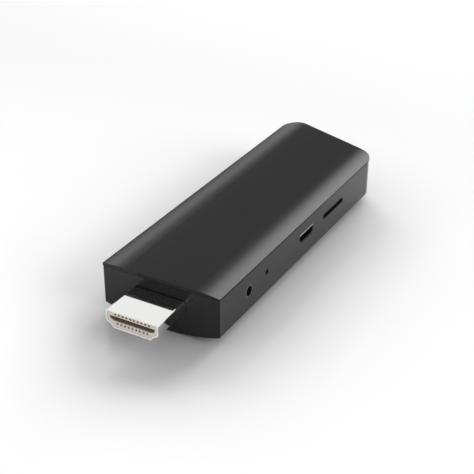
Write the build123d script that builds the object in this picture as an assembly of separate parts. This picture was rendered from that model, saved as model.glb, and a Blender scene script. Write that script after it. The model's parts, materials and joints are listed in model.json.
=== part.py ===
from build123d import *
import math
import os

# Streaming stick, in millimetres. It is drawn with the case's front face on y = 0, the lowest line of the
# belly on z = 0 and the plug pointing to -Y, and each piece is moved to the final origin as it is written.

# Case, seen from above
body_width = 31.6
right_length = 85.8
end_slant = 20.4
right_corner = 6.0
left_corner = 4.2
front_corner = 0.3

# Case, seen from the front
belly_drop = 2.45
side_height = 9.95
lid_edge = 0.5
shoulder_width = 6.3
shoulder_drop = 0.45
lid_overhang = 0.14
wall = 1.2
front_wall = 1.6
floor_thickness = 1.2
lid_thickness = 1.3
seam_gap = 0.08
seam_depth = 0.5
skirt_gap = 0.1
skirt_thickness = 0.8
skirt_drop = 1.8

# Snap hooks between lid and case
hook_length = 4.0
hook_height = 0.7
hook_reach = 0.35
hook_clearance = 0.08
hook_positions = (14.0, 32.0, 50.0, 68.0)
hook_drop = 0.7
hook_root = 0.2
hook_lip = 0.25

# Vents and ribs in the belly
vent_count = 7
vent_pitch = 3.6
vent_width = 1.2
vent_length = 6.6
vent_start = 26.0
vent_offset = 8.4
rib_offset = 3.6
rib_thickness = 0.9
rib_height = 1.0
rib_start = 11.0
ledge_width = 1.2
ledge_length = 2.4
ledge_places = (19.5, 36.5, 56.0, 76.5)
boss_floor = 0.2

# Main board
board_top = 7.5
board_thickness = 1.0
board_gap = 0.4
board_front = 5.6
notch_gap = 0.1

# Board screws and the bosses that hold them
screw_diameter = 1.8
screw_length = 4.2
screw_head = 3.5
screw_head_height = 1.1
screw_clearance = 0.02
screw_head_chamfer = 0.3
boss_diameter = 4.2
screw_hole = 2.2
driver_slot = 0.5
driver_depth = 0.5
driver_length = 2.1
screw_edge = 2.2
front_screw_edge = 3.0
front_screw_back = 4.2
side_screw_y = 29.0
rear_screw_x = 5.0
rear_screw_back = 5.0

# How far cutters run past what they cut, and how deep added pieces root in what carries them
beyond = 1.0
root_depth = 0.3

# Hold-down posts of the lid
post_width = 2.2
post_rib = 0.8
post_gap = 0.05
post_edge = 1.8
post_right = (34.0, 51.3)
post_left = (20.4, 54.9)
rear_post_edge = 4.5
rear_post_back = 3.5

# HDMI plug, type A
plug_reach = 11.45
plug_centre_z = 7.38
plug_width = 13.9
plug_height = 4.45
plug_metal = 0.3
plug_side_z = -0.65
plug_notch_x = 5.7
plug_notch_z = -1.28
plug_foot_x = 5.0
plug_corner = 0.45
plug_depth_inside = 4.2
plug_fit = 0.06
plug_leg_root = 0.5
plug_leg_reach = 2.0
plug_leg_below = 0.2
plug_leg_above = 0.4
detent_offset = 2.9
detent_size = 1.8
detent_start = 3.85
shell_seam = ((0, -3.8), (1.0, -4.2), (1.0, -1.6), (0, -2.0))
shell_seam_gap = 0.08
underside_cut = 0.1
cradle_depth = 2.0
cradle_margin = 1.2

# Insulator and contacts of the plug: distances from its mouth, and heights above its centre
insulator_gap = 0.03
insulator_recess = 0.12
insulator_tail = 0.4
tongue_slot = ((4.95, -0.39), (5.95, 0.06), (6.05, 0.90))
tongue_slot_depth = 8.5
tongue_slot_middle = 0.3
contact_pitch = 1.0
contact_width = 0.42
contact_metal = 0.18
contact_passage = 0.54
contact_cover = 1.55
contact_pad_end = 2.3
upper_contacts = 10
upper_line = ((0.12, 1.14), (1.7, 1.14), (2.6, 0.76), (5.95, 1.35), (16.45, 1.35))
upper_passage = (1.02, 1.62)
upper_pad = 0.4
lower_contacts = 9
lower_line = ((0.12, -0.63), (1.7, -0.63), (2.6, -0.28), (5.95, -0.90), (16.25, -0.90))
lower_passage = (-1.25, -0.51)
lower_pad = 0.2

# Round 2.5 mm jack
jack_y = 13.9
jack_z = 7.52
jack_bore = 2.6
jack_chamber = 3.0
jack_collar = 3.8
jack_collar_gap = 0.08
jack_recess = 0.04
jack_front_gap = 0.15
jack_length = 10.0
jack_width = 5.5
jack_height = 4.8
jack_chamfer = 0.4
jack_bore_length = 3.7
jack_back_wall = 0.8
jack_ear = (2.4, 0.4)
jack_ear_reach = 0.9
jack_ear_height = 0.7
jack_springs = ((0.6, 1), (2.2, -1), (4.1, 1))
jack_spring_metal = 0.25
jack_spring_height = 1.4
jack_spring_flat = 0.9
jack_spring_crest = (2.2, 1.15)
jack_spring_end = (3.2, 0.35)
jack_tail = (0.1, 0.7)
jack_tail_reach = 1.4
jack_window = (0.8, 3.7)
jack_window_depth = 0.9
jack_seat = (-0.1, 1.0)
jack_pocket_gap = 0.1
tail_metal = 0.15

# Reset switch
reset_y = 22.6
reset_z = 8.15
pinhole = 1.4
plunger_gap = 0.45
plunger_width = 1.2
plunger_height = 0.8
plunger_play = 0.05
plunger_nose = 0.75
plunger_nose_root = 0.5
plunger_nose_round = 0.25
plunger_head = 2.2
plunger_head_back = 0.95
switch_width = 4.0
switch_depth = 2.6
switch_height = 1.6
switch_metal = 0.12
switch_back_wall = 0.5
switch_leg = (0.6, 1.6)
switch_leg_lift = 0.1
terminal_inset = 0.7
terminal_width = 0.7
terminal_reach = 0.8
dome_metal = 0.08
dome_inset = 0.1
dome_gap = 0.02

# Micro-USB inlet
usb_y = 43.85
usb_z = 8.17
usb_width = 7.8
usb_height = 2.4
usb_metal = 0.25
usb_length = 5.1
usb_recess = 0.05
usb_fit = 0.08
usb_foot = 1.0
usb_side_z = -0.25
usb_corner = 0.35
usb_tab_reach = 1.3
usb_tab_width = 1.2
usb_tabs = (0.5, 2.5)
usb_base = 1.2
usb_contact_count = 5
usb_contact_pitch = 0.65
usb_contact_width = 0.36
usb_contact_metal = 0.15
usb_contact_play = 0.01
usb_contact_back = 0.9
usb_contact_bends = (0.3, 0.8, 1.7)
usb_tongue_width = 4.4
usb_tongue_thickness = 0.55
usb_tongue_back = 0.6
usb_tongue_lift = 0.2
usb_tongue_chamfer = 0.15

# microSD socket, push to lock and push to eject
card_y = 59.7
card_slot_z = 8.27
card_slot_width = 12.0
card_slot_height = 1.45
card_width = 11.1
card_guide_gap = 0.15
socket_depth = 15.9
socket_front_gap = 0.3
socket_floor = 0.32
socket_wall = 0.5
socket_back_wall = 0.6
socket_top = 9.10
socket_metal = 0.15
slider_length = 6.5
slider_width = 2.0
slider_height = 0.85
slider_play = 0.05
slider_arm = 2.5
slider_arm_depth = 1.2
slider_arm_root = 0.5
slider_flange = 0.8
track_margin = 0.1
slider_travel = 3.6
slider_stop = 4.5
lock_travel = 3.0
spring_channel = 1.15
spring_diameter = 1.0
spring_wire = 0.16
spring_turns = 7
spring_sides = 10
pin_diameter = 0.3
pin_lift = 0.04
pin_hole_play = 0.06
pin_reach = 9.1
pin_setback = 0.7
pin_swing = 0.5
groove_width = 0.4
groove_depth = 0.35
card_contact_count = 8
card_contact_pitch = 1.1
card_contact_width = 0.5
card_contact_metal = 0.12
card_contact_gap = 0.08
card_contact_tail = 0.7
card_contact_bend = 2.4
card_contact_crest = 5.9
card_contact_lift = 0.6
card_contact_start = 0.9
card_contact_nose = 0.7
card_contact_rise = 0.06
card_contact_dip = 0.18
card_contact_slot_end = 1.3
cover_window = (1.2, 5.2)
cover_window_side = (1.9, 2.6)
cover_rear_window = (2.0, 6.5)
cover_rear_sides = (1.0, 8.0)
leaf_sides = (-0.75, 0.55)
leaf_slit = 0.2
leaf_half = 1.6
pin_foot_gap = 0.06

# System chip and memory under their shield
chip_height = 1.2
memory_height = 1.0
chip_chamfer = 0.12
can_metal = 0.2
shield_width = 17.6
shield_length = 30.2
shield_start = 23.0
shield_inset = 0.9
shield_height = 2.0
shield_skirt = 1.0
shield_play = 0.05
system_chip_size = 14.0
system_chip_back = 1.6
bridge_gap = 0.4
bridge_clearance = 0.2
memory_width = 7.5
memory_length = 13.3
memory_margin = 0.7
pad_margin = 1.0
gap_pad_width = 14.0
gap_pad_length = 20.0
gap_pad_back = 3.0

# Heat spreader, staked to the lid
spreader_width = 21.0
spreader_length = 31.0
spreader_thickness = 1.0
spreader_edge = 1.3
spreader_corner = 1.5
spreader_lead = 0.6
stake_width = 1.6
stake_play = 0.05
stake_head = 2.6
stake_head_height = 0.5
stake_margin = 1.6

# What else stands on the board
part_gap = 0.6
power_chip_size = 6.0
power_chip_height = 0.9
power_edge = 1.2
coil_size = 3.2
coil_height = 1.6
coil_corner = 0.6
flash_width = 11.5
flash_length = 13.0
wifi_size = 10.0
wifi_board_height = 0.8
wifi_can_height = 1.2
wifi_can_margin = 0.7
wifi_can_corner = 0.4
wifi_edge = 1.0
wifi_gap = 0.3
antenna_length = 5.0
antenna_width = 2.0
antenna_height = 0.8
antenna_edge = 2.2
antenna_back = 2.2
crystal_height = 0.7
system_crystal = (3.2, 2.5)
system_crystal_place = (14.6, 18.8)
wifi_crystal = (1.6, 2.0)
bulk_capacitor = (2.0, 1.25, 0.9)
bulk_capacitor_count = 6
bulk_capacitor_pitch = 2.6
bulk_capacitor_start = 24.4
bulk_capacitor_gap = 0.5
line_capacitor = (0.8, 1.6, 0.8)
line_capacitor_count = 4
line_capacitor_pitch = 2.0
line_capacitor_place = (6.0, 12.0)

# Smallest radius that a thinned outline keeps at its corners
smallest_radius = 0.05

# Heights and half widths that the pieces share
side_x = body_width / 2
wall_in = side_x - wall
seam_z = belly_drop + side_height
lid_rim_z = seam_z + lid_edge
top_z = lid_rim_z + shoulder_drop
lid_under_z = top_z - lid_thickness
belly_radius = (side_x**2 + belly_drop**2) / (2 * belly_drop)
board_bottom = board_top - board_thickness
board_half = wall_in - board_gap
slant = math.radians(end_slant)
card_far_side = card_y + card_width / 2 + card_guide_gap
card_far_y = card_far_side + slider_width + spring_channel + socket_wall
rear_screw_y = right_length + (side_x - rear_screw_x) * math.tan(slant) - rear_screw_back
screw_places = (
    (-board_half + front_screw_edge, board_front + front_screw_back),
    (board_half - screw_edge, side_screw_y),
    (rear_screw_x, rear_screw_y),
)
post_places = (
    *((board_half - post_edge, y) for y in post_right),
    *((-board_half + post_edge, y) for y in post_left),
    (board_half - rear_post_edge, right_length - rear_post_back),
)


def block(x0, x1, y0, y1, z0, z1):
    """Box between two limits on each axis."""
    return Pos((x0 + x1) / 2, (y0 + y1) / 2, (z0 + z1) / 2) * Box(x1 - x0, y1 - y0, z1 - z0)


def post(x, y, z0, z1, diameter):
    """Upright cylinder between two heights."""
    return Pos(x, y, (z0 + z1) / 2) * Cylinder(diameter / 2, z1 - z0)


def square_post(x, y, z0, z1, half_x, half_y=None):
    """Upright bar between two heights, square unless its other half width is given."""
    half_y = half_y or half_x
    return block(x - half_x, x + half_x, y - half_y, y + half_y, z0, z1)


def rod_x(x0, x1, y, z, diameter):
    """Cylinder along X."""
    return Pos((x0 + x1) / 2, y, z) * Rot(0, 90, 0) * Cylinder(diameter / 2, x1 - x0)


def rounded_face(points, radii):
    """Flat face through the points, with each corner rounded by its own radius."""
    face = make_face(Polyline(*points, close=True)).face()
    for point, radius in zip(points, radii):
        if radius > 0:
            corner = face.vertices().sort_by_distance(point)[0]
            face = face.fillet_2d(radius, [corner])
    return face


def along_x(points, x0, x1, radii=None):
    """Prism of a (y, z) outline between two x."""
    face = rounded_face([(x0, y, z) for y, z in points], radii or [0] * len(points))
    return extrude(face, amount=x1 - x0, dir=(1, 0, 0))


def along_y(points, y0, y1, radii=None):
    """Prism of an (x, z) outline between two y."""
    face = rounded_face([(x, y0, z) for x, z in points], radii or [0] * len(points))
    return extrude(face, amount=y1 - y0, dir=(0, 1, 0))


def along_z(points, z0, z1, radii=None):
    """Prism of an (x, y) outline between two z."""
    face = rounded_face([(x, y, z0) for x, y in points], radii or [0] * len(points))
    return extrude(face, amount=z1 - z0, dir=(0, 0, 1))


def side_step(before, corner, after, distance):
    """Corner moved to the left of the line through three points by distance, kept on the mitre."""
    normals = []
    for (ax, ay), (bx, by) in ((before, corner), (corner, after)):
        length = math.hypot(bx - ax, by - ay)
        normals.append((-(by - ay) / length, (bx - ax) / length))
    (px, py), (qx, qy) = normals
    scale = distance / (1 + px * qx + py * qy)
    return corner[0] + (px + qx) * scale, corner[1] + (py + qy) * scale


def inset(points, distance):
    """Closed anticlockwise outline moved inward by distance."""
    count = len(points)
    return [side_step(points[i - 1], points[i], points[(i + 1) % count], distance) for i in range(count)]


def strip(points, thickness):
    """Outline of bent sheet metal whose middle line runs through the points."""
    first = (2 * points[0][0] - points[1][0], 2 * points[0][1] - points[1][1])
    last = (2 * points[-1][0] - points[-2][0], 2 * points[-1][1] - points[-2][1])
    line = [first, *points, last]
    left = [side_step(*line[i - 1 : i + 2], thickness / 2) for i in range(1, len(line) - 1)]
    right = [side_step(*line[i - 1 : i + 2], -thickness / 2) for i in range(1, len(line) - 1)]
    return left + right[::-1]


def mirrored(half):
    """Anticlockwise outline from its right half, given from bottom to top, mirrored in x = 0."""
    return list(half) + [(-x, z) for x, z in reversed(half)]


def shifted(points, dx, dz):
    return [(x + dx, z + dz) for x, z in points]


def end_y(x, inward):
    """Where the slanted end stands at x, moved inward."""
    return right_length - (inward + (x - side_x) * math.sin(slant)) / math.cos(slant)


def plan_prism(inward, front, z0, z1):
    """Prism of the case's outline from above, moved inward at the sides and end, with its own front."""
    x = side_x - inward
    corners = [(-x, front), (x, front), (x, end_y(x, inward)), (-x, end_y(-x, inward))]
    radii = [front_corner, front_corner, right_corner - inward, left_corner - inward]
    return along_z(corners, z0, z1, radii)


def belly_prism(radius, half_width, top):
    """Long prism with upright sides and an arched underside, concentric with the belly."""
    low = belly_radius - math.sqrt(radius**2 - half_width**2)
    arc = ThreePointArc((-half_width, 0, low), (0, 0, belly_radius - radius), (half_width, 0, low))
    rest = Polyline((half_width, 0, low), (half_width, 0, top), (-half_width, 0, top), (-half_width, 0, low))
    far = end_y(-side_x, 0)
    return extrude(make_face(arc.edges() + rest.edges()), amount=far, dir=(0, 1, 0))


def floor_z(x):
    """Height of the case's inner floor at x."""
    return belly_radius - math.sqrt((belly_radius - floor_thickness) ** 2 - x**2)


def plug_outline(inward=0.0):
    """D-shaped outline of the HDMI plug round its own centre, and its corner radii."""
    half_width = plug_width / 2
    half_height = plug_height / 2
    half = [
        (plug_foot_x, -half_height),
        (plug_notch_x, plug_notch_z),
        (half_width, plug_side_z),
        (half_width, half_height),
    ]
    radii = [plug_corner - inward, plug_corner + inward, plug_corner - inward, plug_corner - inward]
    points = shifted(inset(mirrored(half), inward), 0, plug_centre_z)
    return points, [max(radius, smallest_radius) for radius in radii + radii[::-1]]


def usb_outline(inward=0.0):
    """Outline of the micro-USB mouth, in (y, z), and its corner radii."""
    half_width = usb_width / 2
    half_height = usb_height / 2
    half = [(half_width - usb_foot, -half_height), (half_width, usb_side_z), (half_width, half_height)]
    points = shifted(inset(mirrored(half), inward), usb_y, usb_z)
    return points, [max(usb_corner - inward, smallest_radius)] * len(points)


def hook(side, y, grow):
    """Ramped snap hook on the lid's skirt, or its pocket when grown."""
    root = side_x - wall - skirt_gap
    top = seam_z - hook_drop + grow
    low = top - hook_height - 2 * grow
    tip = root + hook_reach + grow
    back = root - hook_root
    points = [(back, low), (root, low), (tip, top - hook_lip), (tip, top), (back, top)]
    half = hook_length / 2 + grow
    solid = along_y(points, y - half, y + half)
    return solid if side > 0 else mirror(solid, Plane.YZ)


def make_bottom_case():
    shell = belly_prism(belly_radius, side_x, seam_z) & plan_prism(0, 0, -beyond, seam_z)
    hollow = belly_prism(belly_radius - floor_thickness, side_x, top_z)
    hollow &= plan_prism(wall, front_wall, 0, top_z)
    groove = plan_prism(-beyond, -beyond, seam_z - seam_gap, top_z)
    groove -= plan_prism(seam_depth, seam_depth, 0, top_z)
    case = shell - hollow - groove

    # Cradle behind the front face, which carries the plug's shell
    cradle_x = plug_width / 2 + cradle_margin
    cradle = block(-cradle_x, cradle_x, front_wall, front_wall + cradle_depth, floor_z(0), plug_centre_z)
    for x in (-rib_offset, rib_offset):
        half = rib_thickness / 2
        far = end_y(x, wall) - rib_start
        cradle += block(x - half, x + half, rib_start, far, 0, floor_z(x) + rib_height)
    for x, y in screw_places:
        cradle += post(x, y, 0, board_bottom, boss_diameter)
    half_width = ledge_width / 2
    half_length = ledge_length / 2
    for y in ledge_places:
        for x in (-wall_in + half_width, wall_in - half_width):
            cradle += square_post(x, y, 0, board_bottom, half_width, half_length)
    cradle &= belly_prism(belly_radius - floor_thickness / 2, side_x, top_z)
    case += cradle & plan_prism(wall / 2, wall, 0, top_z)

    for x, y in screw_places:
        case -= post(x, y, floor_z(x) + boss_floor, top_z, screw_diameter + 2 * screw_clearance)
    plug_points, plug_radii = plug_outline(-plug_fit)
    case -= along_y(plug_points, -beyond, front_wall + cradle_depth + beyond, plug_radii)

    # Openings in the port side
    inside = wall_in - beyond
    outside = side_x + beyond
    case -= rod_x(inside, outside, jack_y, jack_z, jack_collar + 2 * jack_collar_gap)
    case -= rod_x(inside, outside, reset_y, reset_z, pinhole)
    usb_points, usb_radii = usb_outline(-usb_fit)
    case -= along_x(usb_points, inside, outside, usb_radii)
    half_slot = card_slot_width / 2
    low = card_slot_z - card_slot_height / 2
    case -= block(inside, outside, card_y - half_slot, card_y + half_slot, low, low + card_slot_height)

    for side in (-1, 1):
        for y in hook_positions:
            case -= hook(side, y, hook_clearance)
        x0 = side * vent_offset - vent_length / 2
        for index in range(vent_count):
            y0 = vent_start + index * vent_pitch - vent_width / 2
            case -= block(x0, x0 + vent_length, y0, y0 + vent_width, -beyond, belly_drop + floor_thickness)
    return case


def shoulder_z(x):
    """Height of the lid's outer surface at x, on the right shoulder."""
    radius = (shoulder_width**2 + shoulder_drop**2) / (2 * shoulder_drop)
    inner = side_x + lid_overhang - shoulder_width
    return top_z - radius + math.sqrt(radius**2 - (x - inner) ** 2)


def make_top_cover():
    flat_x = side_x + lid_overhang - shoulder_width
    wide_x = side_x + lid_overhang + beyond
    mid_x = (flat_x + wide_x) / 2
    start = -beyond
    right = [(wide_x, start, shoulder_z(wide_x)), (mid_x, start, shoulder_z(mid_x)), (flat_x, start, top_z)]
    left = [(-x, y, z) for x, y, z in reversed(right)]
    low = seam_z - beyond
    base = Polyline(left[-1], (-wide_x, start, low), (wide_x, start, low), right[0])
    crown = Line(right[-1], left[0])
    shoulders = ThreePointArc(*right).edges() + ThreePointArc(*left).edges()
    section = make_face(shoulders + crown.edges() + base.edges())
    cover = extrude(section, amount=end_y(-side_x, 0) + 3 * beyond, dir=(0, 1, 0))
    cover &= plan_prism(-lid_overhang, 0, seam_z, top_z + beyond)

    skirt_in = wall + skirt_gap
    hollow_in = skirt_in + skirt_thickness
    skirt_low = seam_z - skirt_drop
    cover += plan_prism(skirt_in, front_wall + skirt_gap, skirt_low, seam_z)
    cover -= plan_prism(hollow_in, front_wall + skirt_gap + skirt_thickness, skirt_low - beyond, lid_under_z)
    for side in (-1, 1):
        for y in hook_positions:
            cover += hook(side, y, 0)
    for x, y in post_places:
        for half_x, half_y in ((post_width / 2, post_rib / 2), (post_rib / 2, post_width / 2)):
            cover += square_post(x, y, board_top + post_gap, lid_under_z + root_depth, half_x, half_y)
    low = lid_under_z - spreader_thickness
    for x, y in stake_places():
        cover += square_post(x, y, low - stake_head_height, lid_under_z + root_depth, stake_width / 2)
        cover += square_post(x, y, low - stake_head_height, low, stake_head / 2)
    return cover


def spreader_corner_places():
    """Left, right, front and rear of the heat spreader."""
    left = -board_half + spreader_edge
    front = shield_start - spreader_lead
    return left, left + spreader_width, front, front + spreader_length


def stake_places():
    """Centres of the four heat stakes that hold the spreader to the lid."""
    left, right, front, rear = spreader_corner_places()
    xs = (left + stake_margin, right - stake_margin)
    return [(x, y) for x in xs for y in (front + stake_margin, rear - stake_margin)]


def make_heat_spreader():
    low = lid_under_z - spreader_thickness
    left, right, front, rear = spreader_corner_places()
    corners = [(left, front), (right, front), (right, rear), (left, rear)]
    plate = along_z(corners, low, lid_under_z, [spreader_corner] * len(corners))
    for x, y in stake_places():
        plate -= square_post(x, y, low - beyond, lid_under_z + beyond, stake_width / 2 + stake_play)
    return plate


def make_board():
    board = plan_prism(wall + board_gap, board_front, board_bottom, board_top)
    low = board_bottom - beyond
    high = board_top + beyond
    for x, y in screw_places:
        board -= post(x, y, low, high, screw_hole)
    for side in (-1, 1):
        leg = side * (plug_width / 2 - plug_metal / 2)
        half = plug_metal / 2 + notch_gap
        rear = board_front + plug_leg_reach + notch_gap
        board -= block(leg - half, leg + half, board_front - beyond, rear, low, high)
    half = jack_width / 2 + notch_gap
    rear = wall_in - jack_front_gap - jack_length - notch_gap
    board -= block(rear, side_x, jack_y - half, jack_y + half, low, high)
    half = usb_width / 2 + notch_gap
    rear = side_x - usb_recess - usb_length - notch_gap
    board -= block(rear, side_x, usb_y - half, usb_y + half, low, high)
    return board


def make_screws():
    screws = []
    for x, y in screw_places:
        top = board_top + screw_head_height
        head = post(x, y, board_top, top, screw_head)
        head = chamfer(head.edges().filter_by(GeomType.CIRCLE).sort_by(Axis.Z)[-1], screw_head_chamfer)
        for angle in (0, 90):
            head -= Pos(x, y, top) * Rot(0, 0, angle) * Box(driver_length, driver_slot, 2 * driver_depth)
        screws.append(head + post(x, y, board_top - screw_length, board_top, screw_diameter))
    return screws


def plug_contact_places(count):
    return [(index - (count - 1) / 2) * contact_pitch for index in range(count)]


def make_plug_shell():
    outer, outer_radii = plug_outline()
    inner, inner_radii = plug_outline(plug_metal)
    shell = along_y(outer, -plug_reach, plug_depth_inside, outer_radii)
    shell -= along_y(inner, -plug_reach - beyond, plug_depth_inside + beyond, inner_radii)
    leg_start = plug_depth_inside - plug_leg_root
    leg_end = board_front + plug_leg_reach
    for side in (-1, 1):
        edge = side * plug_width / 2
        x0, x1 = sorted((edge, edge - side * plug_metal))
        shell += block(x0, x1, leg_start, leg_end, board_bottom - plug_leg_below, board_top + plug_leg_above)

    # Two detent windows and the dovetailed seam, in the underside
    low = plug_centre_z - plug_height / 2
    high = low + plug_metal + underside_cut
    y0 = -plug_reach + detent_start
    half = detent_size / 2
    for x in (-detent_offset, detent_offset):
        shell -= block(x - half, x + half, y0, y0 + detent_size, low - beyond, high)
    seam = [(0, -plug_reach - beyond), *shell_seam, (0, plug_depth_inside + beyond)]
    return shell - along_z(strip(seam, shell_seam_gap), low - beyond, high)


def make_plug_inside():
    """Insulator with its tongue slot, and the two rows of contacts, whose tips show at the mouth."""
    face_y = -plug_reach + insulator_recess
    slot_end = -plug_reach + tongue_slot_depth
    core, core_radii = plug_outline(plug_metal + insulator_gap)
    insulator = along_y(core, face_y, plug_depth_inside + insulator_tail, core_radii)
    slot = shifted(mirrored(tongue_slot), 0, plug_centre_z)
    insulator -= along_y(slot, face_y - beyond, slot_end)

    half = contact_width / 2
    half_passage = contact_passage / 2
    middle_z = plug_centre_z + tongue_slot_middle
    upper_z = board_top + contact_metal / 2
    lower_z = board_bottom - contact_metal / 2
    pieces = {}
    for name, count, line, passage, pad, pad_z in (
        ("hdmi_upper_contacts", upper_contacts, upper_line, upper_passage, upper_pad, upper_z),
        ("hdmi_lower_contacts", lower_contacts, lower_line, lower_passage, lower_pad, lower_z),
    ):
        points = shifted(line, -plug_reach, plug_centre_z)
        points += [(board_front + pad, pad_z), (board_front + contact_pad_end, pad_z)]
        low, high = (plug_centre_z + z for z in passage)
        open_low, open_high = min(low, middle_z), max(high, middle_z)
        blades = []
        for index in range(count):
            x = (index - (count - 1) / 2) * contact_pitch
            blades.append(along_x(strip(points, contact_metal), x - half, x + half))
            x0 = x - half_passage
            x1 = x + half_passage
            # Covered behind the mouth, open to the tongue slot beyond that, then a passage again
            insulator -= block(x0, x1, face_y - beyond, plug_depth_inside + beyond, low, high)
            insulator -= block(x0, x1, -plug_reach + contact_cover, slot_end, open_low, open_high)
        pieces[name] = blades
    pieces["hdmi_insulator"] = insulator
    return pieces


def jack_spring(start, side):
    """Bow spring in the jack's side wall, with its tail on the board, and the pocket that it works in."""
    face_y = jack_width / 2 - jack_spring_metal / 2
    crest_x, crest_y = jack_spring_crest
    end_x, end_drop = jack_spring_end
    line = [
        (start, face_y),
        (start + jack_spring_flat, face_y),
        (start + crest_x, crest_y),
        (start + end_x, face_y - end_drop),
    ]
    z0 = jack_z - jack_spring_height / 2
    z1 = z0 + jack_spring_height
    spring = along_z(strip(line, jack_spring_metal), z0, z1)
    tail_y = jack_width / 2 + jack_tail_reach
    tail_x0, tail_x1 = (start + x for x in jack_tail)
    spring += block(tail_x0, tail_x1, face_y, tail_y, board_top, board_top + tail_metal)
    low = z0 - jack_pocket_gap
    high = z1 + jack_pocket_gap
    pocket = block(start + jack_window[0], start + jack_window[1], jack_window_depth, jack_width, low, high)
    seat_y = face_y - jack_spring_metal / 2
    pocket += block(start + jack_seat[0], start + jack_seat[1], seat_y, jack_width, low, high)
    if side < 0:
        spring = mirror(spring, Plane.XZ)
        pocket = mirror(pocket, Plane.XZ)
    place = Pos(0, jack_y, 0)
    return place * spring, place * pocket


def make_jack():
    front = wall_in - jack_front_gap
    rear = front - jack_length
    mouth = side_x - jack_recess
    half = jack_width / 2
    z0 = jack_z - jack_height / 2
    body = block(rear, front, jack_y - half, jack_y + half, z0, z0 + jack_height)
    body = chamfer(body.edges().filter_by(Axis.X), jack_chamfer)
    half += jack_ear_reach
    ear_top = board_top + jack_ear_height
    body += block(front - jack_ear[0], front - jack_ear[1], jack_y - half, jack_y + half, board_top, ear_top)
    body += rod_x(front - beyond, mouth, jack_y, jack_z, jack_collar)
    body -= rod_x(mouth - jack_bore_length, mouth + beyond, jack_y, jack_z, jack_bore)
    body -= rod_x(rear + jack_back_wall, mouth - jack_bore_length, jack_y, jack_z, jack_chamber)
    springs = []
    for start, side in jack_springs:
        spring, pocket = jack_spring(rear + start, side)
        springs.append(spring)
        body -= pocket
    return {"jack_body": body, "jack_contacts": springs}


def make_reset_switch():
    tip_x = wall_in - plunger_gap
    front = tip_x - plunger_nose
    rear = front - switch_depth
    half = switch_width / 2
    top = board_top + switch_height
    play = plunger_play
    z0 = reset_z - plunger_height / 2
    z1 = z0 + plunger_height
    head_half = plunger_head / 2
    head_rear = front - plunger_head_back
    nose_half = plunger_width / 2
    pocket_rear = rear + switch_back_wall
    pocket = head_half + play
    base = block(rear, front, reset_y - half, reset_y + half, board_top, top)
    base -= block(pocket_rear, front + beyond, reset_y - pocket, reset_y + pocket, z0 - play, z1 + play)
    frame_top = top + switch_metal
    frame_front = front + switch_metal
    frame = block(rear, frame_front, reset_y - half, reset_y + half, top, frame_top)
    frame += block(front, frame_front, reset_y - half, reset_y + half, board_top + switch_leg_lift, top)
    window = nose_half + play
    frame -= block(front - beyond, front + beyond, reset_y - window, reset_y + window, z0 - play, z1 + play)
    for side in (-1, 1):
        y0, y1 = sorted((reset_y + side * half, reset_y + side * (half + switch_metal)))
        frame += block(rear + switch_leg[0], rear + switch_leg[1], y0, y1, board_top, frame_top)
    plunger = block(head_rear, front - play, reset_y - head_half, reset_y + head_half, z0, z1)
    nose = block(front - plunger_nose_root, tip_x, reset_y - nose_half, reset_y + nose_half, z0, z1)
    nose = fillet(nose.edges().filter_by(Axis.Z).group_by(Axis.X)[-1], plunger_nose_round)
    plunger += nose

    # Snap dome: a bowed leaf standing between the pocket's rear wall and the plunger's head
    chord = head_half - dome_inset
    sagitta = head_rear - pocket_rear - dome_inset
    radius = (chord**2 + sagitta**2) / (2 * sagitta)
    centre_x = head_rear - dome_gap - radius
    dome = post(centre_x, reset_y, z0 + dome_inset, z1 - dome_inset, 2 * radius)
    dome -= post(centre_x, reset_y, z0, z1, 2 * (radius - dome_metal))
    dome &= block(pocket_rear + dome_gap, head_rear, reset_y - head_half, reset_y + head_half, z0, z1)
    terminals = []
    for side in (-1, 1):
        y0 = reset_y + side * (half - terminal_inset) - terminal_width / 2
        y1 = y0 + terminal_width
        terminals.append(block(rear - terminal_reach, rear, y0, y1, board_top, board_top + tail_metal))
    return {
        "reset_switch_base": base,
        "reset_switch_frame": frame,
        "reset_plunger": plunger,
        "reset_dome": dome,
        "reset_switch_terminals": terminals,
    }


def make_usb():
    mouth = side_x - usb_recess
    rear = mouth - usb_length
    outer, outer_radii = usb_outline()
    inner, inner_radii = usb_outline(usb_metal)
    shell = along_x(outer, rear, mouth, outer_radii)
    shell -= along_x(inner, rear - beyond, mouth + beyond, inner_radii)
    for side in (-1, 1):
        near = usb_y + side * (usb_width / 2 - 2 * usb_metal)
        far = usb_y + side * (usb_width / 2 + usb_tab_reach)
        y0, y1 = sorted((near, far))
        for offset in usb_tabs:
            x0 = rear + offset
            shell += block(x0, x0 + usb_tab_width, y0, y1, board_top, board_top + usb_metal)
    core, core_radii = usb_outline(usb_metal + insulator_gap)
    insulator = along_x(core, rear, rear + usb_base, core_radii)
    tongue_z = usb_z + usb_tongue_lift
    half = usb_tongue_width / 2
    tongue_end = mouth - usb_tongue_back
    tongue = block(rear, tongue_end, usb_y - half, usb_y + half, tongue_z, tongue_z + usb_tongue_thickness)
    insulator += chamfer(tongue.edges().filter_by(Axis.Y).group_by(Axis.X)[-1], usb_tongue_chamfer)
    blade_z = tongue_z - usb_contact_metal / 2
    pad_z = board_top + usb_contact_metal / 2
    first, second, third = (rear - bend for bend in usb_contact_bends)
    line = [(mouth - usb_contact_back, blade_z), (first, blade_z), (second, pad_z), (third, pad_z)]
    low = blade_z - usb_contact_metal / 2 - usb_contact_play
    half = usb_contact_width / 2
    gap = half + usb_contact_play
    contacts = []
    for index in range(usb_contact_count):
        y = usb_y + (index - (usb_contact_count - 1) / 2) * usb_contact_pitch
        contacts.append(along_y(strip(line, usb_contact_metal), y - half, y + half))
        insulator -= block(rear - beyond, rear + usb_base + beyond, y - gap, y + gap, low, tongue_z)
    return {"usb_shell": shell, "usb_insulator": insulator, "usb_contacts": contacts}


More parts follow.
